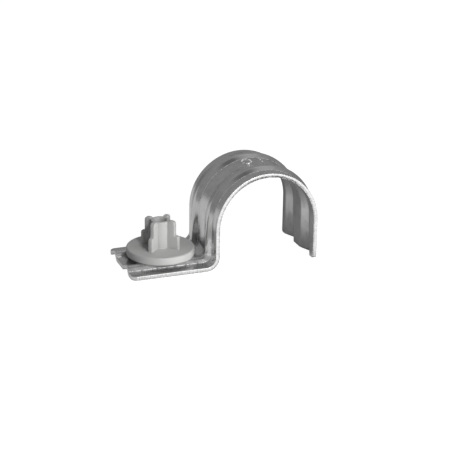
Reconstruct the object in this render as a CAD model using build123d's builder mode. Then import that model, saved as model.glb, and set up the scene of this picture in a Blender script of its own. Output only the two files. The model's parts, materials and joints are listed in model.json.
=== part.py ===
from build123d import *
from math import cos, hypot, radians, sin
import os

os.makedirs("parts", exist_ok=True)

# One-hole conduit clip of ribbed sheet steel, with a moulded guide for the fixing pin in its foot.
# Origin: where the pin's axis meets the wall. X runs towards the conduit, Z away from the wall.

# Conduit and its seat
conduit_diameter = 23.4
seat_height = 21.3  # wall to crown inside the arch, less than the conduit so that the clip grips
pin_to_conduit = 23.0

# Strap
sheet = 0.95
strap_width = 18.9
foot_end = 9.7  # from the pin's axis to the foot's end
foot_bend_radius = 2.2  # on the hollow side
foot_corner_radius = 1.4
tip_corner_radius = 0.6

# Two pressed ribs, each with a steep side towards the front edge and a gentle side behind
front_margin = 3.15
rear_margin = 1.6
rib_wall = 1.0
rib_crest = 0.7
rib_ramp = 2.9
rib_height = 1.2
arch_rib_wall = 1.3
arch_rib_height = 0.75  # the ribs flatten where the sheet is bent over the conduit
tip_rib_wall = 2.2  # the ribs' steep side eases towards the free end

# Raised marks between the ribs at the crown
mark_span = 3.3  # across the strap
ring_mark_width = 2.3
mark_stroke = 0.45
mark_height = 0.15
ring_mark_angle = 97
bar_mark_angle = 81

# Pin guide
pin_bore_diameter = 2.9
tube_diameter = 4.4
tube_height = 6.4
bore_lead_in = 0.2
disc_diameter = 16.0
disc_thickness = 1.85
disc_edge_chamfer = 0.3
fin_thickness = 1.1
fin_angle = 43
fin_low_reach = 4.95
fin_low_height = 3.25
fin_top_reach = 3.95
fin_top_height = 6.75
fin_step_radius = 0.5
fin_top_radius = 0.75
fin_edge_chamfer = 0.15
spigot_clearance = 0.05
spigot_flare = 0.3  # the spigot's foot is spread into the hole's countersink

# Places worked out from the sizes above
seat_radius = conduit_diameter / 2
seat_axis_height = seat_height - seat_radius
leg_inner = pin_to_conduit - seat_radius
tip_inner = pin_to_conduit + seat_radius
bend_x = leg_inner - sheet - foot_bend_radius
bend_z = sheet + foot_bend_radius
disc_seat = sheet + rib_height
disc_top = disc_seat + disc_thickness
tube_radius = tube_diameter / 2
tube_top = disc_top + tube_height
hole_diameter = tube_diameter + 2 * spigot_clearance
rib_width = rib_wall + rib_crest + rib_ramp
second_rib = strap_width - rear_margin - rib_width
flat_middle = (front_margin + rib_width + second_rib - strap_width) / 2
rib_corner_radius = sheet / 2  # at mid thickness, so that the inside of each corner is sharp


def strap_section(height, wall):
    """Cross-section of the ribbed sheet: local X across the strap, local Y outwards from the conduit side."""
    outline = [(-strap_width / 2, sheet / 2)]
    for start in (front_margin, second_rib):
        crest = start + rib_wall - strap_width / 2
        outline += [
            (crest - wall, sheet / 2),
            (crest, sheet / 2 + height),
            (crest + rib_crest, sheet / 2 + height),
            (crest + rib_crest + rib_ramp, sheet / 2),
        ]
    outline.append((strap_width / 2, sheet / 2))
    with BuildSketch() as section:
        with BuildLine():
            middle = FilletPolyline(*outline, radius=rib_corner_radius)
        trace(middle, line_width=sheet)
    return section.sketch


def crown_plane(angle):
    """Plane on the arch's outer face between the ribs: local X along the arch, local Y across the strap."""
    reach = seat_radius + sheet
    out = (cos(radians(angle)), sin(radians(angle)))
    point = (pin_to_conduit + reach * out[0], flat_middle, seat_axis_height + reach * out[1])
    return Plane(origin=point, x_dir=(out[1], 0, -out[0]), z_dir=(out[0], 0, out[1]))


def fin_direction(angle):
    """Level unit vector at this angle from the strap's length."""
    return (cos(radians(angle)), sin(radians(angle)), 0)


def on_fin_outline(edge):
    """True for an edge between a fin's side and its end or top, clear of the disc and the tube."""
    middle = edge.center()
    if middle.Z < disc_top + fin_edge_chamfer or hypot(middle.X, middle.Y) < tube_radius + fin_edge_chamfer:
        return False
    for angle in (fin_angle, fin_angle + 90):
        across = fin_direction(angle + 90)
        points = [edge @ place for place in (0, 0.5, 1)]
        offsets = [abs(point.X * across[0] + point.Y * across[1]) for point in points]
        if all(abs(offset - fin_thickness / 2) < 1e-4 for offset in offsets):
            return True
    return False


deep_section = strap_section(rib_height, rib_wall)
shallow_section = strap_section(arch_rib_height, arch_rib_wall)
tip_section = strap_section(rib_height, tip_rib_wall)

foot_plane = Plane(origin=(-foot_end, 0, 0), x_dir=(0, 1, 0), z_dir=(1, 0, 0))
bend_plane = Plane(origin=(bend_x, 0, 0), x_dir=(0, 1, 0), z_dir=(1, 0, 0))
leg_low = Plane(origin=(leg_inner, 0, bend_z), x_dir=(0, 1, 0), z_dir=(0, 0, 1))
leg_high = Plane(origin=(leg_inner, 0, seat_axis_height), x_dir=(0, 1, 0), z_dir=(0, 0, 1))
tip_high = Plane(origin=(tip_inner, 0, seat_axis_height), x_dir=(0, 1, 0), z_dir=(0, 0, -1))
tip_low = Plane(origin=(tip_inner, 0, 0), x_dir=(0, 1, 0), z_dir=(0, 0, -1))

with BuildPart() as strap:
    # Foot, flat on the wall
    with BuildSketch(foot_plane):
        add(deep_section)
    extrude(amount=foot_end + bend_x)
    # Bend up from the wall
    with BuildSketch(bend_plane):
        add(deep_section)
    revolve(axis=Axis((bend_x, 0, bend_z), (0, -1, 0)), revolution_arc=90)
    # Leg, where the ribs run out from deep to shallow
    with BuildSketch(leg_low):
        add(deep_section)
    with BuildSketch(leg_high):
        add(shallow_section)
    loft(ruled=True)
    # Arch over the conduit
    with BuildSketch(leg_high):
        add(shallow_section)
    revolve(axis=Axis((pin_to_conduit, 0, seat_axis_height), (0, 1, 0)), revolution_arc=180)
    # Free leg back down to the wall
    with BuildSketch(tip_high):
        add(shallow_section)
    with BuildSketch(tip_low):
        add(tip_section)
    loft(ruled=True)
    # Rounded corners at both ends
    foot_corners = strap.edges().filter_by(Axis.Z).group_by(Axis.X)[0]
    fillet(foot_corners, radius=foot_corner_radius)
    tip_edges = strap.edges().filter_by(Axis.X).filter_by_position(Axis.X, pin_to_conduit, tip_inner + sheet)
    tip_corners = tip_edges.group_by(Axis.Y)[0] + tip_edges.group_by(Axis.Y)[-1]
    fillet(tip_corners, radius=tip_corner_radius)
    # Fixing hole with its countersink on the wall side
    with BuildSketch(Plane.XY):
        Circle(hole_diameter / 2)
    extrude(amount=disc_seat, mode=Mode.SUBTRACT)
    with BuildSketch(Plane.XY):
        Circle(hole_diameter / 2 + spigot_flare)
    extrude(amount=spigot_flare, taper=45, mode=Mode.SUBTRACT)
    # Raised marks at the crown
    with BuildSketch(crown_plane(ring_mark_angle)):
        SlotOverall(mark_span, ring_mark_width, rotation=90)
        inner_width = ring_mark_width - 2 * mark_stroke
        SlotOverall(mark_span - 2 * mark_stroke, inner_width, rotation=90, mode=Mode.SUBTRACT)
    extrude(amount=mark_height, both=True)
    with BuildSketch(crown_plane(bar_mark_angle)):
        SlotOverall(mark_span, mark_stroke, rotation=90)
    extrude(amount=mark_height, both=True)
strap.part.label = "strap"

with BuildPart() as pin_guide:
    # Turned body: spigot through the strap, disc on the rib crests, tube for the pin
    with BuildSketch(Plane.XZ):
        with BuildLine():
            Polyline(
                (pin_bore_diameter / 2, 0),
                (tube_radius + spigot_flare, 0),
                (tube_radius, spigot_flare),
                (tube_radius, disc_seat),
                (disc_diameter / 2, disc_seat),
                (disc_diameter / 2, disc_top),
                (tube_radius, disc_top),
                (tube_radius, tube_top),
                (pin_bore_diameter / 2, tube_top),
                close=True,
            )
        rim = make_face()
        chamfer(rim.vertices().group_by(Axis.X)[-1], length=disc_edge_chamfer)
    revolve(axis=Axis.Z)
    bore_mouth = pin_guide.edges().filter_by(GeomType.CIRCLE).group_by(Axis.Z)[-1].sort_by(SortBy.RADIUS)[0]
    chamfer(bore_mouth, length=bore_lead_in)
    # Two crossed stepped plates make the four fins
    for angle in (fin_angle, fin_angle + 90):
        fin_side = Plane(origin=(0, 0, disc_top), x_dir=fin_direction(angle), z_dir=fin_direction(angle - 90))
        with BuildSketch(fin_side, mode=Mode.PRIVATE) as fins:
            with Locations((0, (fin_low_height - disc_thickness / 2) / 2)):
                Rectangle(2 * fin_low_reach, fin_low_height + disc_thickness / 2)
            with Locations((0, fin_top_height / 2)):
                Rectangle(2 * fin_top_reach, fin_top_height)
            fillet(fins.vertices().group_by(Axis.Y)[-1], radius=fin_top_radius)
            fillet(fins.vertices().group_by(Axis.X)[0].sort_by(Axis.Y)[-1], radius=fin_step_radius)
            fillet(fins.vertices().group_by(Axis.X)[-1].sort_by(Axis.Y)[-1], radius=fin_step_radius)
        with BuildSketch(fin_side):
            add(fins.sketch_local)
        extrude(amount=fin_thickness / 2, both=True)
    with BuildSketch(Plane.XY):
        Circle(pin_bore_diameter / 2)
    extrude(amount=disc_top + fin_top_height, mode=Mode.SUBTRACT)
    with BuildSketch(Plane.XY.offset(tube_top)):
        Circle(tube_radius)
    extrude(amount=fin_top_height, mode=Mode.SUBTRACT)
    # Broken edges round each fin
    chamfer(pin_guide.edges().filter_by(on_fin_outline), length=fin_edge_chamfer)
pin_guide.part.label = "pin_guide"

export_step(strap.part, "parts/strap.step")
export_step(pin_guide.part, "parts/pin_guide.step")
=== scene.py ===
import bmesh
import bpy
import json
import math
import numpy as np
from mathutils import Matrix, Vector


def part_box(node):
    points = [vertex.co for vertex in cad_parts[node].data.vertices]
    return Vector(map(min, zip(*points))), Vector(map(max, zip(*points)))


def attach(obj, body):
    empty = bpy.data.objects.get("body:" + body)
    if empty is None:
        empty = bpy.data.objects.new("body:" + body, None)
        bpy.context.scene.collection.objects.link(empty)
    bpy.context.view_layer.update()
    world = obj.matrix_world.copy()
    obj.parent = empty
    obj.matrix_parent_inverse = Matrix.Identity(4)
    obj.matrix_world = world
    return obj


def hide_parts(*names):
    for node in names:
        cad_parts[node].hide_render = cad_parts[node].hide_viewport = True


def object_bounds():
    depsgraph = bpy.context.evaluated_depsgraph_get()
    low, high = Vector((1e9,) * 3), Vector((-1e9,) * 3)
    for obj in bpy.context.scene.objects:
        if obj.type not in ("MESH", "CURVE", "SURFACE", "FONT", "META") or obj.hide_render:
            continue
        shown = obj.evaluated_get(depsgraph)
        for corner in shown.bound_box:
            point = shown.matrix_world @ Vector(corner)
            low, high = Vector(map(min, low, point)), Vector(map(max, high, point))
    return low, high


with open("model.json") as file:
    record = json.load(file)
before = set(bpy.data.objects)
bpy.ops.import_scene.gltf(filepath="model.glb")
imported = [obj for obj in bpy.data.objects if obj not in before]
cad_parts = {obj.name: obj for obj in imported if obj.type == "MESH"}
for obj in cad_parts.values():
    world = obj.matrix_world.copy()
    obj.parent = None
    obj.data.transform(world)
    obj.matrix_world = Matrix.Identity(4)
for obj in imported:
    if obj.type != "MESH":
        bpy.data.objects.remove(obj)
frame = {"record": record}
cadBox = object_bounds()

mm = 0.001
perMm = 1 / mm            # scale of a pattern that repeats each mm of Object coordinates
mapLength = 100           # mm of sheet that the UV map "run" counts as 1
sewReach = 0.0004 * mm    # points closer than this are sewn together
creaseAngle = 38          # degrees: a sharper edge stays crisp, and a softer one is shaded round
mounts = {mount["name"]: mount for mount in frame["record"]["mounts"]}
seatCentre = np.array(mounts["conduit_seat"]["pos_m"]) / mm
seatRadius = mounts["conduit_seat"]["dims"]["r_mm"]
boreRadius = mounts["pin_bore"]["dims"]["r_mm"]
strapLow, strapHigh = (np.array(corner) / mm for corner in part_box("strap"))
guideLow, guideHigh = (np.array(corner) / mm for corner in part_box("pin_guide"))
print("frame loaded, strap", strapHigh - strapLow, "guide", guideHigh - guideLow)


# Small helpers for colours, nodes and meshes

def linearColour(hexText):
    # sRGB hex to linear: c / 12.92 under 0.04045, else ((c + 0.055) / 1.055) ^ 2.4
    channels = np.array([int(hexText[i:i + 2], 16) / 255 for i in (1, 3, 5)])
    linear = np.where(channels <= 0.04045, channels / 12.92, ((channels + 0.055) / 1.055) ** 2.4)
    return (*linear.tolist(), 1.0)


def addNode(tree, kind, settings=None, links=None):
    # One node, its kind given without the prefix ShaderNode. A setting is named by its socket, the socket's
    # number or its property, and a link by its input's name or number.
    node = tree.nodes.new("ShaderNode" + kind)
    for name, value in (settings or {}).items():
        if isinstance(name, int) or name in node.inputs:
            node.inputs[name].default_value = value
        else:
            setattr(node, name, value)
    for name, socket in (links or {}).items():
        tree.links.new(socket, node.inputs[name])
    return node


def newMaterial(name):
    material = bpy.data.materials.new(name)
    material.use_nodes = True
    tree = material.node_tree
    tree.nodes.clear()
    return material, tree, addNode(tree, "OutputMaterial")


def smooth(t):
    # Smooth step 3t^2 - 2t^3 on 0 to 1
    t = np.clip(t, 0, 1)
    return t * t * (3 - 2 * t)


def meshFromGrids(name, grids):
    # Each grid is rows x columns of points in mm, with a map coordinate, a cut depth, a painted highlight and
    # a slot's number. Neighbouring points become quads, and the grids are sewn where their points meet.
    points, corners, runs, slots = [], [], [], []
    values = {"cutDepth": [], "rub": []}
    first = 0
    for grid in grids:
        rows, columns = grid["points"].shape[:2]
        index = first + np.arange(rows * columns).reshape(rows, columns)
        quads = np.stack([index[:-1, :-1], index[1:, :-1], index[1:, 1:], index[:-1, 1:]], -1)
        points.append(grid["points"].reshape(-1, 3))
        corners.append(quads.reshape(-1, 4))
        runs.append(grid["run"].reshape(-1, 2))
        for key, parts in values.items():
            parts.append(np.broadcast_to(grid.get(key, 0.0), (rows, columns)).ravel())
        slots.append(np.broadcast_to(grid["slot"], (rows - 1, columns - 1)).ravel())
        first += rows * columns
    points, corners, runs = np.concatenate(points) * mm, np.concatenate(corners), np.concatenate(runs)
    mesh = bpy.data.meshes.new(name)
    mesh.from_pydata(points.tolist(), [], corners.tolist())
    mesh.polygons.foreach_set("material_index", np.concatenate(slots).astype(np.int32))
    for key, parts in values.items():
        mesh.attributes.new(key, "FLOAT", "POINT").data.foreach_set("value", np.concatenate(parts))
    mesh.uv_layers.new(name="run").uv.foreach_set("vector", runs[corners.ravel()].ravel())
    sewn = bmesh.new()
    sewn.from_mesh(mesh)
    bmesh.ops.remove_doubles(sewn, verts=sewn.verts, dist=sewReach)
    bmesh.ops.recalc_face_normals(sewn, faces=sewn.faces)
    sewn.to_mesh(mesh)
    sewn.free()
    return mesh


def addPiece(name, mesh):
    piece = bpy.data.objects.new(name, mesh)
    bpy.context.scene.collection.objects.link(piece)
    return piece


def applyBoolean(piece, tool, operation):
    # Cuts or adds the tool exactly, keeps the result as the piece's mesh and removes the tool
    change = piece.modifiers.new("change", "BOOLEAN")
    change.operation = operation
    change.solver = "EXACT"
    change.object = tool
    bpy.context.view_layer.update()
    graph = bpy.context.evaluated_depsgraph_get()
    result = bpy.data.meshes.new_from_object(
        piece.evaluated_get(graph), preserve_all_data_layers=True, depsgraph=graph)
    piece.modifiers.clear()
    piece.data = result
    bpy.data.objects.remove(tool)


def finishPiece(piece, nodeName):
    piece.data.polygons.foreach_set("use_smooth", np.ones(len(piece.data.polygons), bool))
    piece.data.set_sharp_from_angle(angle=math.radians(creaseAngle))
    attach(piece, "root")
    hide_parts(nodeName)


# Strap: one strip of galvanised sheet, pressed with two ribs and bent over the conduit

strap = {
    "sheet": 0.95,
    "bendRadius": 3.15,        # of the wall side of the bend beside the foot
    "footCorner": 1.4,
    "tipCorner": 0.6,
    "frontMargin": 3.15,
    "rearMargin": 1.6,
    "ribWall": 1.0,
    "ribCrest": 0.7,
    "ribRamp": 2.9,
    "ribHeight": 1.2,
    "archRibWall": 1.3,
    "archRibHeight": 0.75,
    "tipRibWall": 2.2,
    "wallSoftness": 0.27,      # half the length over which a rib's corner turns
    "rampSoftness": 0.24,
    "edgeRoll": 0.13,          # rounding where the shear first pressed on the sheet
    "breakDepth": 0.33,        # share of the cut that tore instead of being cut
    "breakRecess": 0.045,      # how far the torn zone stands back from the cut one
    "breakStep": 0.04,         # height of the step between them
    "burrHeight": 0.06,
    "endMargin": 2.2,          # width of the margin that closes up towards a rounded corner
    "rubWidth": 0.2,           # of the painted highlight, a white line along the ribs
    "footRub": 0.65,           # how white that line is on the foot, where it is 1 on the arch
    "footRubWidth": 0.08,
    "footRubRise": 0.25,       # how far up the rib's steep side that line lies on the foot, as a share
    "bendRubRun": 4,           # length in which the line takes the arch's width and place, from the bend on
    "legRubRun": 2,            # length in which it dies out up the leg
    "archRubRun": 6,           # length in which it comes back on the arch
    "markHeight": 0.18,
    "markStroke": 0.45,
    "markRise": 0.13,          # width in which a mark's side rises
    "markSpread": 0.05,        # how far outside the stroke that starts
    "markSpan": 3.3,
    "ringWidth": 2.3,
    "ringAngle": 97,
    "barAngle": 81,
}

halfWidth = strapHigh[1]
footLength = seatCentre[0] - seatRadius - strap["bendRadius"] - strapLow[0]
bendStart = footLength
legStart = bendStart + strap["bendRadius"] * math.pi / 2
legLength = seatCentre[2] - strap["bendRadius"]
archStart = legStart + legLength
tipStart = archStart + seatRadius * math.pi
tipLength = seatCentre[2]
strapLength = tipStart + tipLength
ribWidth = strap["ribWall"] + strap["ribCrest"] + strap["ribRamp"]
ribStarts = (strap["frontMargin"] - halfWidth, halfWidth - strap["rearMargin"] - ribWidth)
markMiddle = (ribStarts[0] + ribWidth + ribStarts[1]) / 2


def strapPath(along):
    # Wall and conduit side of the sheet seen from the front: each stretch adds its own run to x and z.
    # A straight adds its length, and an arc of radius r turned by a adds r sin a one way and r (1 - cos a)
    # the other.
    bend = np.clip((along - bendStart) / strap["bendRadius"], 0, math.pi / 2)
    arch = np.clip((along - archStart) / seatRadius, 0, math.pi)
    x = strapLow[0] + np.clip(along, 0, footLength)
    x = x + strap["bendRadius"] * np.sin(bend) + seatRadius * (1 - np.cos(arch))
    z = strap["bendRadius"] * (1 - np.cos(bend)) + np.clip(along - legStart, 0, legLength)
    z = z + seatRadius * np.sin(arch) - np.clip(along - tipStart, 0, tipLength)
    turn = bend - arch
    return x, z, -np.sin(turn), np.cos(turn)


def ribLine(across, height, wall):
    # Height and slope of mid thickness across the strap: the slope changes at each corner of each rib,
    # and within a corner's softness w it changes evenly, so the height there is (t + w)^2 / 4w.
    line = np.zeros_like(across)
    slope = np.zeros_like(across)
    crest, ramp = strap["ribCrest"], strap["ribRamp"]
    for start in ribStarts:
        crestStart = start + strap["ribWall"]
        for place, turn, softness in (
            (crestStart - wall, height / wall, strap["wallSoftness"]),
            (crestStart, -height / wall, strap["wallSoftness"]),
            (crestStart + crest, -height / ramp, strap["rampSoftness"]),
            (crestStart + crest + ramp, height / ramp, strap["rampSoftness"]),
        ):
            t = across - place
            within = np.clip(t + softness, 0, 2 * softness)
            line = line + turn * (within ** 2 / (4 * softness) + np.clip(t - softness, 0, None))
            slope = slope + turn * within / (2 * softness)
    return line, slope


def markLift(along, across):
    # Raised ring and bar at the crown: a stroke stands up within half its width of its centre line,
    # and the centre lines are a long ring, sqrt(u^2 + max(|v| - s, 0)^2) = r, and a short straight.
    outer = seatRadius + strap["sheet"]
    angle = math.pi - (along - archStart) / seatRadius
    v = np.abs(across - markMiddle)
    stroke, span = strap["markStroke"], strap["markSpan"]
    ringU = (math.radians(strap["ringAngle"]) - angle) * outer
    ringRadius = (strap["ringWidth"] - stroke) / 2
    ring = np.abs(np.hypot(ringU, np.clip(v - (span - strap["ringWidth"]) / 2, 0, None)) - ringRadius)
    barU = (math.radians(strap["barAngle"]) - angle) * outer
    bar = np.hypot(barU, np.clip(v - (span - stroke) / 2, 0, None))
    nearest = np.minimum(ring, bar)
    return strap["markHeight"] * smooth((stroke / 2 + strap["markSpread"] - nearest) / strap["markRise"])


def ribSize(along):
    # Height of the ribs and width of their steep side: even on the foot and the arch, changing on both legs
    leg = 1 - np.clip((along - legStart) / legLength, 0, 1)
    tip = np.clip((along - tipStart) / tipLength, 0, 1)
    height, wall = strap["archRibHeight"], strap["archRibWall"]
    height = height + (strap["ribHeight"] - height) * np.maximum(leg, tip)
    wall = wall + (strap["ribWall"] - wall) * leg + (strap["tipRibWall"] - wall) * tip
    return height, wall


def highlightOn(along, across, depth):
    # Painted highlight: 1 falling to 0 over its width from a line along each rib's steep side, and over the
    # raised marks. The line lies a little way up that side on the foot and at its bottom on the arch. The leg
    # has none.
    wall = ribSize(along)[1]
    onFoot = 1 - smooth((along - bendStart) / strap["bendRubRun"])
    rise = strap["footRubRise"] * onFoot
    centres = [start + strap["ribWall"] - wall * (1 - rise) for start in ribStarts]
    away = np.min([np.abs(across - centre) for centre in centres], axis=0)
    onLeg = smooth((along - legStart) / strap["legRubRun"])
    highlightStrength = strap["footRub"] * (1 - onLeg) + smooth((along - archStart) / strap["archRubRun"])
    width = strap["rubWidth"] + (strap["footRubWidth"] - strap["rubWidth"]) * onFoot
    line = np.clip(1 - away / width, 0, 1) * highlightStrength
    return np.where(depth > 0, np.maximum(line, markLift(along, across) / strap["markHeight"]), 0)


def strapPoint(along, across, depth):
    # Place on the sheet from its distance along, its place across and its height above mid thickness:
    # the height is laid off square to the rib line, and the whole section square to the path.
    line, slope = ribLine(across, *ribSize(along))
    lean = np.sqrt(1 + slope ** 2)
    lift = strap["sheet"] / 2 + line + depth / lean + np.where(depth > 0, markLift(along, across), 0)
    x, z, outX, outZ = strapPath(along)
    return np.stack([x + outX * lift, across - depth * slope / lean, z + outZ * lift], -1)


def cutProfile():
    # Sheared edge from the outer face down: a rolled corner, a smooth cut, a torn step and a crisp burr.
    # Gives how far each point stands back and its height above mid thickness.
    half, roll = strap["sheet"] / 2, strap["edgeRoll"]
    turn = np.radians([25, 50, 75, 90])
    tornFrom = -half + strap["sheet"] * strap["breakDepth"]
    recess = strap["breakRecess"] * np.array([0.55, 1, 0.7])
    back = np.concatenate([roll * (1 - np.sin(turn)), [0, 0, 0], recess])
    depth = np.concatenate([
        half - roll * (1 - np.cos(turn)),
        np.linspace(half - roll, tornFrom, 5)[2:],
        [tornFrom - strap["breakStep"], -half + strap["burrHeight"], -half],
    ])
    return back, depth


def strapStations():
    # Stations along the strap, closer at the bend, the arch, the marks and the rounded corners.
    # Each has a base length and, at an end, how far its corner has turned from the end towards the side.
    corner = np.radians(np.linspace(0, 90, 10))[:-1]
    arch = np.unique(np.concatenate([np.arange(0, 181, 1.8), np.arange(75, 105, 0.5)]))
    middle = np.concatenate([
        np.linspace(strap["footCorner"], bendStart, 18),
        np.linspace(bendStart, legStart, 22)[1:],
        np.linspace(legStart, archStart, 12)[1:],
        archStart + seatRadius * np.radians(arch[1:]),
        np.linspace(tipStart, strapLength - strap["tipCorner"], 14)[1:],
    ])
    base = np.concatenate([
        np.full(len(corner), strap["footCorner"]),
        middle,
        np.full(len(corner), strapLength - strap["tipCorner"]),
    ])
    square = np.full(len(middle), math.pi / 2)
    footTurn = np.concatenate([corner, square, np.full(len(corner), math.pi / 2)])
    tipTurn = np.concatenate([np.full(len(corner), math.pi / 2), square, corner[::-1]])
    return base, footTurn, tipTurn


def acrossSamples():
    # Places across one face: close together at each corner of a rib and under the marks
    markReach = 1.8    # from the middle of the marks to just past them
    past = 0.3         # how far past a rib's corners the close places run
    step, closest = 0.085, 0.035
    full = halfWidth - strap["edgeRoll"]
    places = [np.linspace(-full, full, 30), markMiddle + np.linspace(-markReach, markReach, 34)]
    for start in ribStarts:
        crestEnd = start + strap["ribWall"] + strap["ribCrest"]
        wallStart = crestEnd - strap["ribCrest"] - strap["tipRibWall"]
        places.append(np.arange(wallStart - past, crestEnd + past, step))
        places.append(start + ribWidth + np.linspace(-past, past, 8))
    places = np.unique(np.round(np.concatenate(places), 4))
    keep = np.concatenate([[True], np.diff(places) > closest])
    keep[-1] = True
    return places[keep]


def fitAcross(across, half):
    # Near a rounded corner the outer margin of the face closes up to the narrower width
    full = halfWidth - strap["edgeRoll"]
    margin = strap["endMargin"]
    beyond = np.clip(np.abs(across) - (full - margin), 0, None)
    return np.sign(across) * (np.abs(across) + beyond * (half - full) / margin)


def makeStrap():
    base, footTurn, tipTurn = (values[:, None] for values in strapStations())
    faceY = acrossSamples()
    back, depth = cutProfile()
    footCorner, tipCorner, roll = strap["footCorner"], strap["tipCorner"], strap["edgeRoll"]

    def place(columnsY, side, columnsBack, columnsDepth):
        # side is 0 for a face and -1 or +1 for the front or rear cut
        alongAt = base - (footCorner - columnsBack) * np.cos(footTurn)
        alongAt = alongAt + (tipCorner - columnsBack) * np.cos(tipTurn)
        half = halfWidth - footCorner * (1 - np.sin(footTurn)) - tipCorner * (1 - np.sin(tipTurn))
        half = half - columnsBack * np.sin(footTurn) * np.sin(tipTurn)
        acrossAt = fitAcross(columnsY, half) if side == 0 else side * half
        return alongAt, acrossAt, columnsDepth

    halfSheet = strap["sheet"] / 2
    faceBack = np.full(len(faceY), roll)
    stretches = [
        place(faceY, 0, faceBack, np.full(len(faceY), halfSheet)),
        place(None, 1, back, depth),
        place(faceY[::-1], 0, faceBack, np.full(len(faceY), -halfSheet)),
        place(None, -1, back[::-1], depth[::-1]),
    ]
    along = np.concatenate([np.broadcast_to(s[0], (len(base), len(s[2]))) for s in stretches], 1)
    across = np.concatenate([s[1] for s in stretches], 1)
    depths = np.concatenate([s[2] for s in stretches])
    wrap = np.r_[np.arange(along.shape[1]), 0]
    along, across, depths = along[:, wrap], across[:, wrap], depths[wrap]
    around = np.concatenate([faceY, halfWidth + halfSheet - depth, 2 * halfWidth + 2 * halfSheet + faceY,
                             3 * halfWidth + 3 * halfSheet + depth[::-1], [3 * halfWidth + 4 * halfSheet]])
    cutShare = (halfSheet - depth) / strap["sheet"]
    cut = np.concatenate([np.zeros(len(faceY)), cutShare, np.ones(len(faceY)), cutShare[::-1], [0]])
    isCut = np.zeros(along.shape[1] - 1, int)
    isCut[len(faceY) - 1:len(faceY) + len(depth)] = 1
    isCut[2 * len(faceY) + len(depth) - 1:] = 1
    depths = np.broadcast_to(depths, along.shape)
    grids = [{
        "points": strapPoint(along, across, depths),
        "run": np.stack([along, np.broadcast_to(around, along.shape)], -1) / mapLength,
        "cutDepth": cut[None, :],
        "rub": highlightOn(along, across, depths),
        "slot": isCut[None, :],
    }]
    # The two end cuts: the same sheared profile, laid across the end and put clear of the rest on the map
    rowsBack = np.concatenate([[roll], back, [roll]])[:, None]
    rowsDepth = np.concatenate([[halfSheet], depth, [-halfSheet]])[:, None]
    for corner, atEnd, mapPlace in ((footCorner, False, (50, 70)), (tipCorner, True, (50, 60))):
        acrossAt = np.broadcast_to(fitAcross(faceY, halfWidth - corner), (len(rowsBack), len(faceY)))
        alongAt = np.broadcast_to(strapLength - rowsBack if atEnd else rowsBack, acrossAt.shape)
        depthAt = np.broadcast_to(rowsDepth, acrossAt.shape)
        grids.append({
            "points": strapPoint(alongAt, acrossAt, depthAt),
            "run": np.stack([acrossAt + mapPlace[0], depthAt + mapPlace[1]], -1) / mapLength,
            "cutDepth": (halfSheet - rowsDepth) / strap["sheet"],
            "slot": 1,
        })
    return addPiece("strapSheet", meshFromGrids("strapSheet", grids))


def lathe(name, profile, steps, slot=0):
    # Closed profile of radius and height turned once about the upright axis: at turn a and radius r a point
    # lies at r cos a, r sin a
    mapRadius = 10    # mm, at which the turn is laid out on the map
    closed = np.concatenate([profile, profile[:1]])
    turn = np.linspace(0, 2 * math.pi, steps + 1)[:, None]
    radius, height = closed[:, 0], np.broadcast_to(closed[:, 1], (steps + 1, len(closed)))
    points = np.stack([radius * np.cos(turn), radius * np.sin(turn), height], -1)
    length = np.concatenate([[0], np.cumsum(np.hypot(*np.diff(closed, axis=0).T))])
    run = np.stack(np.broadcast_arrays(turn * mapRadius, length), -1) / mapLength
    return meshFromGrids(name, [{"points": points, "run": run, "slot": slot}])


# Pin guide: one light grey moulding with a spigot, a disc, an open tube and four stepped fins

guide = {
    "tubeRadius": 2.2,
    "tubeTop": 10.55,
    "tubeRound": 0.1,
    "tubeFootRound": 0.18,     # where the tube rises from the disc
    "leadIn": 0.12,
    "leadInRound": 0.04,
    "discBottom": 2.15,
    "discTop": 4.0,
    "discRound": 0.38,         # of the rim above
    "discUnderRound": 0.3,
    "spigotFlare": 0.3,
    "spigotRound": 0.15,       # at both ends of the spigot's straight part
    "flareRound": 0.06,
    "holeClearance": 0.05,     # between the spigot and the hole in the strap
    "finThickness": 1.1,
    "finAngle": 43,
    "finLowReach": 4.95,
    "finLowTop": 7.25,
    "finTopReach": 3.95,
    "finStepRound": 0.5,
    "finNeckRound": 0.25,      # in the hollow corner above the step
    "finTopRound": 0.75,
    "finInnerRound": 0.3,      # at the top beside the tube
    "finRound": 0.22,          # along the edges of a fin's two sides
    "finSink": 0.45,           # how far a fin runs into the disc and the tube
    "finTubeGap": 0.02,        # how far off the tube's side a fin's inner end stands above it
    "finTubeDrop": 0.3,        # how far below the tube's top that inner end starts
}


def roundCorners(corners, steps=6):
    # Closed outline from (u, v, radius) corners: each corner is an arc tangent to its two sides,
    # which starts radius x tan(half the turn) before the corner.
    outline = []
    count = len(corners)
    for i, (u, v, radius) in enumerate(corners):
        here = np.array([u, v], float)
        before = np.array(corners[i - 1][:2], float) - here
        after = np.array(corners[(i + 1) % count][:2], float) - here
        if radius == 0:
            outline.append(here[None])
            continue
        before, after = before / np.linalg.norm(before), after / np.linalg.norm(after)
        half = math.acos(np.clip(before @ after, -1, 1)) / 2
        middle = (before + after) / np.linalg.norm(before + after)
        centre = here + middle * radius / math.sin(half)
        startAt = here + before * radius / math.tan(half) - centre
        endAt = here + after * radius / math.tan(half) - centre
        share = np.linspace(0, 1, steps)[:, None]
        turn = math.pi - 2 * half
        arc = (np.sin((1 - share) * turn) * startAt + np.sin(share * turn) * endAt) / math.sin(turn)
        outline.append(centre + arc)
    return np.concatenate(outline)


def insetOutline(outline, amount):
    # Moves each point of a closed outline inwards by amount along the mean of its two sides' normals
    ahead = np.roll(outline, -1, 0) - outline
    ahead = ahead / np.linalg.norm(ahead, axis=1)[:, None]
    normal = np.stack([-ahead[:, 1], ahead[:, 0]], -1)
    mean = normal + np.roll(normal, 1, 0)
    mean = mean / (np.sum(mean ** 2, 1) / 2)[:, None]
    return outline + mean * amount


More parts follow.
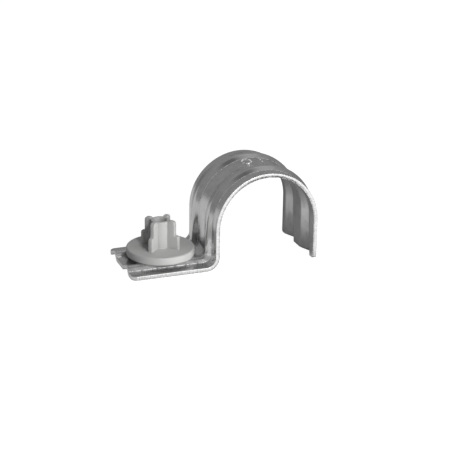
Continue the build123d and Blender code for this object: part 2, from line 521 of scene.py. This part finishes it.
def finMesh(angle):
    # Stepped plate with rounded edges: r (1 - cos a) below a side face, its outline is inset by r (1 - sin a)
    sink, edge, half = guide["finSink"], guide["finRound"], guide["finThickness"] / 2
    bottom, top = guide["discTop"] - sink, guideHigh[2]
    tube = guide["tubeRadius"]
    innerEnd, innerStart = tube + guide["finTubeGap"], guide["tubeTop"] - guide["finTubeDrop"]
    outline = roundCorners([
        (tube - sink, bottom, 0),
        (guide["finLowReach"], bottom, 0),
        (guide["finLowReach"], guide["finLowTop"], guide["finStepRound"]),
        (guide["finTopReach"], guide["finLowTop"], guide["finNeckRound"]),
        (guide["finTopReach"], top, guide["finTopRound"]),
        (innerEnd, top, guide["finInnerRound"]),
        (innerEnd, innerStart, 0),
        (tube - sink, innerStart, 0),
    ])
    turns = np.radians([0, 22, 45, 68, 90])
    levels = [(edge * (1 - math.sin(a)), half - edge * (1 - math.cos(a))) for a in turns]
    levels += [(inset, -side) for inset, side in reversed(levels)]
    rings = [insetOutline(outline, inset) for inset, _ in levels]
    along = np.array([math.cos(angle), math.sin(angle), 0])
    across = np.array([-math.sin(angle), math.cos(angle), 0])
    points = np.concatenate([
        ring[:, :1] * along + side * across + ring[:, 1:] * np.array([0, 0, 1])
        for ring, (_, side) in zip(rings, levels)])
    size = len(outline)
    index = np.arange(size)
    faces = []
    for level in range(len(levels) - 1):
        low, high = level * size, (level + 1) * size
        quads = np.stack([low + index, high + index, high + np.roll(index, -1), low + np.roll(index, -1)], -1)
        faces += quads.tolist()
    faces.append(index.tolist())
    faces.append(((len(levels) - 1) * size + index[::-1]).tolist())
    return points, faces


def makeGuide():
    tube, disc = guide["tubeRadius"], guideHigh[0]
    profile = roundCorners([
        (boreRadius, 0, 0),
        (tube + guide["spigotFlare"], 0, guide["flareRound"]),
        (tube, guide["spigotFlare"], guide["spigotRound"]),
        (tube, guide["discBottom"], guide["spigotRound"]),
        (disc, guide["discBottom"], guide["discUnderRound"]),
        (disc, guide["discTop"], guide["discRound"]),
        (tube, guide["discTop"], guide["tubeFootRound"]),
        (tube, guide["tubeTop"], guide["tubeRound"]),
        (boreRadius + guide["leadIn"], guide["tubeTop"], guide["leadInRound"]),
        (boreRadius, guide["tubeTop"] - guide["leadIn"], guide["leadInRound"]),
    ])
    body = addPiece("pinGuideMoulding", lathe("pinGuideMoulding", profile, 160))
    points, faces = [], []
    for quarter in range(4):
        finPoints, finFaces = finMesh(math.radians(guide["finAngle"] + 90 * quarter))
        faces += [[corner + sum(len(p) for p in points) for corner in face] for face in finFaces]
        points.append(finPoints)
    fins = bpy.data.meshes.new("fins")
    fins.from_pydata((np.concatenate(points) * mm).tolist(), [], faces)
    shaped = bmesh.new()
    shaped.from_mesh(fins)
    bmesh.ops.recalc_face_normals(shaped, faces=shaped.faces)
    shaped.to_mesh(fins)
    shaped.free()
    applyBoolean(body, addPiece("fins", fins), "UNION")
    return body


# Materials: the sizes of their patterns are in mm

zincFinish = {
    "darker": "#cbcbcb",
    "lighter": "#e8e8e8",
    # white of the painted highlight along the ribs and over the marks
    "rubbed": "#fafafa",
    "spangle": 1.6,
    "cloud": 7,
    "ripple": 0.9,
    "grain": 0.14,             # real grain and rolling lines are too fine to show, so both are drawn coarser
    "lineLength": 5.0,
    "lineWidth": 0.16,
    "dashLength": 0.9,
    "dashWidth": 0.6,
    "dashEdge": (0.42, 0.52),  # noise between which the painted highlight starts
    "spangleShare": 0.35,      # of the spangle and the rolling lines in the tone, where the cloud's is 1
    "lineShare": 0.5,
    "toneRange": (0.5, 1.4),   # tone of the darker and of the lighter zinc
    "polish": (0.18, 0.28),    # roughness of the darker and of the lighter zinc
    "rubbedRoughness": 0.85,
    "grainShare": 0.25,        # of the grain in the bumps, where the ripple's is 1
    "bumpHeight": 0.012,
}


def galvanisedSheet():
    # Bright hot-dip galvanised steel, rolled: a soft mirror of the room with a faint spangle and ripple, and
    # a painted highlight along the ribs and over the marks
    material, tree, output = newMaterial("galvanisedSheet")
    place = addNode(tree, "TexCoord").outputs["Object"]
    run = addNode(tree, "UVMap", {"uv_map": "run"}).outputs["UV"]
    spangle = addNode(tree, "TexVoronoi", {"Scale": perMm / zincFinish["spangle"], "Randomness": 1.0},
                      {"Vector": place})
    spangleTone = addNode(tree, "SeparateColor", None, {"Color": spangle.outputs["Color"]}).outputs[0]
    ripple, grain, cloud = (
        addNode(tree, "TexNoise", {"Scale": perMm / zincFinish[name], "Detail": detail}, {"Vector": place})
        for name, detail in (("ripple", 2.0), ("grain", 2.0), ("cloud", 3.0)))
    lineScale = (mapLength / zincFinish["lineLength"], mapLength / zincFinish["lineWidth"], 1)
    lineMap = addNode(tree, "Mapping", {"Scale": lineScale}, {"Vector": run})
    lines = addNode(tree, "TexNoise", {"Scale": 1.0, "Detail": 3.0}, {"Vector": lineMap.outputs[0]})
    blend = addNode(tree, "Math", {"operation": "MULTIPLY_ADD", 1: zincFinish["spangleShare"]},
                    {0: spangleTone, 2: cloud.outputs[0]})
    tone = addNode(tree, "Math", {"operation": "MULTIPLY_ADD", 1: zincFinish["lineShare"]},
                   {0: lines.outputs[0], 2: blend.outputs[0]})
    start, end = zincFinish["toneRange"]
    share = addNode(tree, "MapRange", {"From Min": start, "From Max": end}, {"Value": tone.outputs[0]})
    darker, lighter = (linearColour(zincFinish[name]) for name in ("darker", "lighter"))
    clean = addNode(tree, "Mix", {"data_type": "RGBA", 6: darker, 7: lighter}, {0: share.outputs[0]})
    # A painted highlight: white along the ribs and over the marks, in dashes where a noise is high
    rubbed = addNode(tree, "Attribute", {"attribute_name": "rub"}).outputs["Fac"]
    dashScale = (mapLength / zincFinish["dashLength"], mapLength / zincFinish["dashWidth"], 1)
    dashMap = addNode(tree, "Mapping", {"Scale": dashScale}, {"Vector": run})
    dashes = addNode(tree, "TexNoise", {"Scale": 1.0, "Detail": 2.0}, {"Vector": dashMap.outputs[0]})
    start, end = zincFinish["dashEdge"]
    broken = addNode(tree, "MapRange", {"From Min": start, "From Max": end}, {"Value": dashes.outputs[0]})
    rub = addNode(tree, "Math", {"operation": "MULTIPLY"}, {0: rubbed, 1: broken.outputs[0]})
    colour = addNode(tree, "Mix", {"data_type": "RGBA", 7: linearColour(zincFinish["rubbed"])},
                     {0: rub.outputs[0], 6: clean.outputs[2]})
    smoother, rougher = zincFinish["polish"]
    polish = addNode(tree, "MapRange", {"To Min": smoother, "To Max": rougher}, {"Value": share.outputs[0]})
    roughness = addNode(tree, "Mix", {3: zincFinish["rubbedRoughness"]},
                        {0: rub.outputs[0], 2: polish.outputs[0]})
    heights = addNode(tree, "Math", {"operation": "MULTIPLY_ADD", 1: zincFinish["grainShare"]},
                      {0: grain.outputs[0], 2: ripple.outputs[0]})
    bump = addNode(tree, "Bump", {"Strength": 1.0, "Distance": zincFinish["bumpHeight"] * mm},
                   {"Height": heights.outputs[0]})
    shader = addNode(tree, "BsdfPrincipled", {"Metallic": 1.0},
                     {"Base Color": colour.outputs[2], "Roughness": roughness.outputs[0],
                      "Normal": bump.outputs[0]})
    tree.links.new(shader.outputs[0], output.inputs[0])
    return material


edgeFinish = {
    # Darker and lighter colour of each zone
    "cut": ("#bebebe", "#dadada"),
    "torn": ("#989898", "#cccccc"),
    "crownTorn": ("#404040", "#a8a8a8"),
    "crownFrom": 17,           # mm above the wall where the torn zone starts to change into the crown's
    "crownTo": 21,
    "crownWider": 0.22,        # how much wider the crown's torn zone is, as a share of the cut
    "tornEdge": (0.8, 0.92),   # share of the way down the cut between which the torn zone starts
    "raggedLength": 0.8,       # of the waves in that line
    "raggedDepth": 0.3,        # their depth as a share of the cut
    "scoreWidth": 0.22,        # real scores and torn grain are too fine to show, so both are drawn coarser
    "scoreLength": 1.6,
    "scoreRange": (0.3, 0.6),  # noise in the darker and in the lighter parts
    "tearGrain": 0.3,
    "tearRange": (0.38, 0.62),
    "roughness": (0.42, 0.62), # of the cut and of the torn zone
    "bumpHeight": 0.02,
}


def shearedEdge():
    # Sheared steel edge: a bright cut zone drawn with fine upright scores, then a rough grey torn zone
    material, tree, output = newMaterial("shearedSteelEdge")
    place = addNode(tree, "TexCoord").outputs["Object"]
    run = addNode(tree, "UVMap", {"uv_map": "run"}).outputs["UV"]
    depth = addNode(tree, "Attribute", {"attribute_name": "cutDepth"}).outputs["Fac"]
    wander = addNode(tree, "TexNoise", {"Scale": perMm / edgeFinish["raggedLength"], "Detail": 3.0},
                     {"Vector": place})
    ragged = addNode(tree, "Math", {"operation": "MULTIPLY_ADD", 1: edgeFinish["raggedDepth"]},
                     {0: wander.outputs[0], 2: depth})
    # Towards the crown the torn zone is drawn wider and darker, by height alone
    above = addNode(tree, "SeparateXYZ", None, {0: place})
    crownShare = addNode(tree, "MapRange", {
        "From Min": edgeFinish["crownFrom"] * mm, "From Max": edgeFinish["crownTo"] * mm,
    }, {"Value": above.outputs[2]})
    wider = addNode(tree, "Math", {"operation": "MULTIPLY_ADD", 1: edgeFinish["crownWider"]},
                    {0: crownShare.outputs[0], 2: ragged.outputs[0]})
    start, end = edgeFinish["tornEdge"]
    torn = addNode(tree, "MapRange", {"From Min": start, "From Max": end}, {"Value": wider.outputs[0]})
    scoreScale = (mapLength / edgeFinish["scoreWidth"], mapLength / edgeFinish["scoreLength"], 1)
    scoreMap = addNode(tree, "Mapping", {"Scale": scoreScale}, {"Vector": run})
    scoreNoise = addNode(tree, "TexNoise", {"Scale": 1.0, "Detail": 2.0}, {"Vector": scoreMap.outputs[0]})
    start, end = edgeFinish["scoreRange"]
    score = addNode(tree, "MapRange", {"From Min": start, "From Max": end}, {"Value": scoreNoise.outputs[0]})
    tearNoise = addNode(tree, "TexNoise", {"Scale": perMm / edgeFinish["tearGrain"], "Detail": 4.0},
                        {"Vector": place})
    start, end = edgeFinish["tearRange"]
    tear = addNode(tree, "MapRange", {"From Min": start, "From Max": end}, {"Value": tearNoise.outputs[0]})
    zones = {}
    for zone, pattern in (("cut", score), ("torn", tear), ("crownTorn", tear)):
        darker, lighter = (linearColour(hexText) for hexText in edgeFinish[zone])
        zones[zone] = addNode(tree, "Mix", {"data_type": "RGBA", 6: darker, 7: lighter},
                              {0: pattern.outputs[0]})
    tornZone = addNode(tree, "Mix", {"data_type": "RGBA"},
                       {0: crownShare.outputs[0], 6: zones["torn"].outputs[2], 7: zones["crownTorn"].outputs[2]})
    colour = addNode(tree, "Mix", {"data_type": "RGBA"},
                     {0: torn.outputs[0], 6: zones["cut"].outputs[2], 7: tornZone.outputs[2]})
    smoother, rougher = edgeFinish["roughness"]
    roughness = addNode(tree, "MapRange", {"To Min": smoother, "To Max": rougher}, {"Value": torn.outputs[0]})
    height = addNode(tree, "Mix", None, {0: torn.outputs[0], 2: score.outputs[0], 3: tear.outputs[0]})
    bump = addNode(tree, "Bump", {"Strength": 1.0, "Distance": edgeFinish["bumpHeight"] * mm},
                   {"Height": height.outputs[0]})
    shader = addNode(tree, "BsdfPrincipled", {"Metallic": 1.0},
                     {"Base Color": colour.outputs[2], "Roughness": roughness.outputs[0],
                      "Normal": bump.outputs[0]})
    tree.links.new(shader.outputs[0], output.inputs[0])
    return material


plasticFinish = {
    "darker": "#b4b4b3",
    "lighter": "#bebebd",
    "cloud": 3.5,
    "grain": 0.12,             # a real mould's grain is too fine to show, so it is drawn coarser
    "roughness": (0.4, 0.52),
    "bumpHeight": 0.01,
    "ior": 1.49,
}


def mouldedPlastic():
    # Injection-moulded polypropylene from a spark-eroded mould: matt, light grey, with a faint cloudiness
    material, tree, output = newMaterial("mouldedPolypropylene")
    place = addNode(tree, "TexCoord").outputs["Object"]
    cloud, grain = (
        addNode(tree, "TexNoise", {"Scale": perMm / plasticFinish[name], "Detail": detail}, {"Vector": place})
        for name, detail in (("cloud", 3.0), ("grain", 2.0)))
    darker, lighter = (linearColour(plasticFinish[name]) for name in ("darker", "lighter"))
    colour = addNode(tree, "Mix", {"data_type": "RGBA", 6: darker, 7: lighter}, {0: cloud.outputs[0]})
    smoother, rougher = plasticFinish["roughness"]
    roughness = addNode(tree, "MapRange", {"To Min": smoother, "To Max": rougher},
                        {"Value": grain.outputs[0]})
    bump = addNode(tree, "Bump", {"Strength": 0.6, "Distance": plasticFinish["bumpHeight"] * mm},
                   {"Height": grain.outputs[0]})
    shader = addNode(tree, "BsdfPrincipled", {"IOR": plasticFinish["ior"]},
                     {"Base Color": colour.outputs[2], "Roughness": roughness.outputs[0],
                      "Normal": bump.outputs[0]})
    tree.links.new(shader.outputs[0], output.inputs[0])
    return material


strapPiece = makeStrap()
for finish in (galvanisedSheet(), shearedEdge()):
    strapPiece.data.materials.append(finish)
# Fixing hole, spread at 45 degrees on the wall side for the spigot's flare and cut past both faces
holeRadius, past = guide["tubeRadius"] + guide["holeClearance"], 0.5
holeProfile = np.array([
    [0.0, -past],
    [holeRadius + guide["spigotFlare"] + past, -past],
    [holeRadius, guide["spigotFlare"]],
    [holeRadius, guide["discTop"]],
    [0.0, guide["discTop"]],
])
holeCutter = addPiece("holeCutter", lathe("holeCutter", holeProfile, 96, 1))
for finish in strapPiece.data.materials:
    holeCutter.data.materials.append(finish)
applyBoolean(strapPiece, holeCutter, "DIFFERENCE")
finishPiece(strapPiece, "strap")
print("strap made,", len(strapPiece.data.polygons), "faces")

guidePiece = makeGuide()
guidePiece.data.materials.clear()
guidePiece.data.materials.append(mouldedPlastic())
finishPiece(guidePiece, "pin_guide")
print("guide made,", len(guidePiece.data.polygons), "faces")


# Floor, room and lamps

stage = {
    "floorHalf": 1.5,
    "floorDrop": 0.02 * mm,
    "floorGlow": 0.94,
    "floorColour": "#848484",
    # How bright the floor glows to the metal's rays alone, a painted reflection, with lengths in mm: in
    # front, and behind to the left and right, where the near-black right is painted shade
    "frontFloorMirrored": 1.1,
    "leftFloorMirrored": 0.5,
    "rightFloorMirrored": 0.07,
    "frontFloorEdge": (-16, -4),  # y between which the front gives way to what is behind
    "leftFloorEdge": (16, 32),    # x + lean times y between which the left gives way to the right
    "leftFloorLean": 0.3,
    "cardMirrored": 0.22,         # a dark card on the floor in front, to the left
    "cardPlace": (-10, -21, 0),
    "cardEdge": (7.5, 11),        # distance from its middle between which it gives way to the floor
    # How bright the room shows in the metal, with edges between two values of a part of the unit direction
    "frontMirrored": 0.55,        # low down in front
    "backdropMirrored": 0.33,     # low down behind
    "backdropEdge": (-0.5, -0.1),
    "ceilingMirrored": 0.36,
    "ceilingEdge": (0.4, 0.65),
    "frontCeilingMirrored": 0.4,
    "frontCeilingEdge": (-0.5, -0.15),
    "patchMirrored": 0.12,        # a dark patch on the ceiling
    "patchDirection": (-0.17, -0.18, 0.95),
    "patchEdge": (0.2, 0.5),      # distance from that direction
    "panelMirrored": 0.58,        # a pale panel on the ceiling, behind and to the right
    "panelDirection": (0.35, 0.28, 0.894),
    "panelEdge": (0.15, 0.36),
    # Light on the plastic: soft from the room in front and behind, and a painted bounce light that the floor
    # gives off in front
    "fill": 0.09,
    "rearFill": 0.6,
    "rearFillEdge": (0.0, 0.6),
    "floorBounce": 1.6,
    "bounceFront": (-6, -14),     # y in mm between which it comes in
    "bounceLeft": (-10, 2),       # x in mm between which it comes in
    # Angle round from the front towards the conduit's side, elevation, distance, width and height in m, watts
    "lamps": {
        "keySoftbox": (4, 32, 0.5, (0.1, 0.1), 1.3),
        "wideSoftbox": (32, 20, 0.5, (0.5, 0.12), 1.15),
    },
}


def makeFloor():
    half = stage["floorHalf"]
    mesh = bpy.data.meshes.new("floor")
    corners = [(-half, -half, 0), (half, -half, 0), (half, half, 0), (-half, half, 0)]
    mesh.from_pydata([(x, y, -stage["floorDrop"]) for x, y, _ in corners], [], [(0, 1, 2, 3)])
    floor = addPiece("floor", mesh)
    material, tree, output = newMaterial("paleStudioFloor")
    path = addNode(tree, "LightPath")
    where = addNode(tree, "TexCoord").outputs["Object"]
    place = addNode(tree, "SeparateXYZ", None, {0: where})
    # Painted reflection: the floor glows to the metal's rays alone, bright in front with a dark card on it,
    # and behind the clip grey to the left and nearly black to the right, where that black is painted shade
    across = addNode(tree, "Math", {"operation": "MULTIPLY_ADD", 1: stage["leftFloorLean"]},
                     {0: place.outputs[1], 2: place.outputs[0]})
    start, end = (limit * mm for limit in stage["leftFloorEdge"])
    rear = addNode(tree, "MapRange", {
        "interpolation_type": "SMOOTHSTEP", "From Min": start, "From Max": end,
        "To Min": stage["leftFloorMirrored"], "To Max": stage["rightFloorMirrored"],
    }, {"Value": across.outputs[0]})
    start, end = (limit * mm for limit in stage["frontFloorEdge"])
    share = addNode(tree, "MapRange", {
        "interpolation_type": "SMOOTHSTEP", "From Min": start, "From Max": end,
    }, {"Value": place.outputs[1]})
    card = tuple(part * mm for part in stage["cardPlace"])
    fromCard = addNode(tree, "VectorMath", {"operation": "DISTANCE", 1: card}, {0: where})
    start, end = (limit * mm for limit in stage["cardEdge"])
    front = addNode(tree, "MapRange", {
        "interpolation_type": "SMOOTHSTEP", "From Min": start, "From Max": end,
        "To Min": stage["cardMirrored"], "To Max": stage["frontFloorMirrored"],
    }, {"Value": fromCard.outputs["Value"]})
    shown = addNode(tree, "Mix", None, {0: share.outputs[0], 2: front.outputs[0], 3: rear.outputs[0]})
    mirrored = addNode(tree, "Math", {"operation": "MULTIPLY"},
                       {0: path.outputs["Is Glossy Ray"], 1: shown.outputs[0]})
    # Painted bounce light: the floor glows to the plastic's diffuse rays in front of the clip, but not to its
    # left, and lights it from below
    start, end = (limit * mm for limit in stage["bounceFront"])
    ahead = addNode(tree, "MapRange", {"From Min": start, "From Max": end}, {"Value": place.outputs[1]})
    start, end = (limit * mm for limit in stage["bounceLeft"])
    pool = addNode(tree, "MapRange", {"From Min": start, "From Max": end, "To Max": stage["floorBounce"]},
                   {"Value": place.outputs[0]})
    bounce = addNode(tree, "Math", {"operation": "MULTIPLY"}, {0: ahead.outputs[0], 1: pool.outputs[0]})
    lit = addNode(tree, "Math", {"operation": "MULTIPLY_ADD"},
                  {0: path.outputs["Is Diffuse Ray"], 1: bounce.outputs[0], 2: mirrored.outputs[0]})
    glow = addNode(tree, "Math", {"operation": "MULTIPLY_ADD", 1: stage["floorGlow"]},
                   {0: path.outputs["Is Camera Ray"], 2: lit.outputs[0]})
    emission = addNode(tree, "Emission", None, {"Strength": glow.outputs[0]})
    diffuse = addNode(tree, "BsdfDiffuse", {"Color": linearColour(stage["floorColour"])})
    both = addNode(tree, "AddShader", None, {0: emission.outputs[0], 1: diffuse.outputs[0]})
    tree.links.new(both.outputs[0], output.inputs[0])
    mesh.materials.append(material)


def makeRoom():
    # White to the camera, and a soft fill that is stronger from behind. The metal sees a grey backdrop, paler
    # in front, and a grey ceiling with a dark patch on it and a pale panel.
    world = bpy.data.worlds.new("studioRoom")
    world.use_nodes = True
    bpy.context.scene.world = world
    tree = world.node_tree
    tree.nodes.clear()
    output = addNode(tree, "OutputWorld")
    path = addNode(tree, "LightPath")
    towards = addNode(tree, "TexCoord").outputs["Generated"]
    direction = addNode(tree, "SeparateXYZ", None, {0: towards})
    # The ceiling, then the patch and the panel laid on it in turn
    overhead = addNode(tree, "MapRange", {
        "interpolation_type": "SMOOTHSTEP",
        "From Min": stage["frontCeilingEdge"][0], "From Max": stage["frontCeilingEdge"][1],
        "To Min": stage["frontCeilingMirrored"], "To Max": stage["ceilingMirrored"],
    }, {"Value": direction.outputs[1]})
    for shape in ("patch", "panel"):
        away = addNode(tree, "VectorMath", {"operation": "DISTANCE", 1: stage[shape + "Direction"]},
                       {0: towards})
        clear = addNode(tree, "MapRange", {
            "interpolation_type": "SMOOTHSTEP",
            "From Min": stage[shape + "Edge"][0], "From Max": stage[shape + "Edge"][1],
        }, {"Value": away.outputs["Value"]})
        overhead = addNode(tree, "Mix", {2: stage[shape + "Mirrored"]},
                           {0: clear.outputs[0], 3: overhead.outputs[0]})
    raised = addNode(tree, "MapRange", {
        "interpolation_type": "SMOOTHSTEP",
        "From Min": stage["ceilingEdge"][0], "From Max": stage["ceilingEdge"][1],
    }, {"Value": direction.outputs[2]})
    low = addNode(tree, "MapRange", {
        "interpolation_type": "SMOOTHSTEP",
        "From Min": stage["backdropEdge"][0], "From Max": stage["backdropEdge"][1],
        "To Min": stage["frontMirrored"], "To Max": stage["backdropMirrored"],
    }, {"Value": direction.outputs[1]})
    room = addNode(tree, "Mix", None, {0: raised.outputs[0], 2: low.outputs[0], 3: overhead.outputs[0]})
    soft = addNode(tree, "MapRange", {
        "interpolation_type": "SMOOTHSTEP",
        "From Min": stage["rearFillEdge"][0], "From Max": stage["rearFillEdge"][1],
        "To Min": stage["fill"], "To Max": stage["rearFill"],
    }, {"Value": direction.outputs[1]})
    glossy = addNode(tree, "Mix", None, {
        0: path.outputs["Is Glossy Ray"], 2: soft.outputs[0], 3: room.outputs[0]})
    seen = addNode(tree, "Mix", {3: 1.0}, {0: path.outputs["Is Camera Ray"], 2: glossy.outputs[0]})
    background = addNode(tree, "Background", None, {"Strength": seen.outputs[0]})
    tree.links.new(background.outputs[0], output.inputs[0])


def makeLamp(name, angle, elevation, distance, size, power):
    # An area lamp aimed at the clip's middle, from an angle round from the front and a height above the floor
    lamp = bpy.data.lights.new(name, "AREA")
    lamp.shape = "RECTANGLE"
    lamp.size, lamp.size_y = size
    lamp.energy = power
    holder = bpy.data.objects.new(name, lamp)
    bpy.context.scene.collection.objects.link(holder)
    turn, rise = math.radians(angle), math.radians(elevation)
    towards = Vector((math.sin(turn) * math.cos(rise), -math.cos(turn) * math.cos(rise), math.sin(rise)))
    holder.location = (cadBox[0] + cadBox[1]) / 2 + towards * distance
    holder.rotation_mode = "QUATERNION"
    holder.rotation_quaternion = towards.to_track_quat("Z", "Y")


makeFloor()
makeRoom()
for lampName, placing in stage["lamps"].items():
    makeLamp(lampName, *placing)
print("floor, room and lamps made")

# Camera at the photograph's place, aimed at a point inside the arch

view = {
    "azimuth": -20.782,
    "elevation": 20.681,
    "roll": 0.836,
    "aim": (16.255, 0.588, 6.993),
    "distance": 352.96,
    "lens": 119.489,
    "sensor": 36,
    "clip": (0.01, 10),
}


def makeCamera():
    turn, rise, roll = (math.radians(view[name]) for name in ("azimuth", "elevation", "roll"))
    forward = np.array([-math.sin(turn) * math.cos(rise), math.cos(turn) * math.cos(rise), -math.sin(rise)])
    level = np.array([math.cos(turn), math.sin(turn), 0])
    down = np.cross(forward, level)
    right = math.cos(roll) * level - math.sin(roll) * down
    down = math.sin(roll) * level + math.cos(roll) * down
    camera = bpy.data.objects.new("camera", bpy.data.cameras.new("camera"))
    bpy.context.scene.collection.objects.link(camera)
    camera.data.sensor_width = view["sensor"]
    camera.data.lens = view["lens"]
    camera.data.clip_start, camera.data.clip_end = view["clip"]
    place = (np.array(view["aim"]) - forward * view["distance"]) * mm
    matrix = np.eye(4)
    matrix[:3, 0], matrix[:3, 1], matrix[:3, 2], matrix[:3, 3] = right, -down, -forward, place
    camera.matrix_world = Matrix(matrix.tolist())
    bpy.context.scene.camera = camera


makeCamera()
bpy.context.scene.view_settings.view_transform = "Standard"
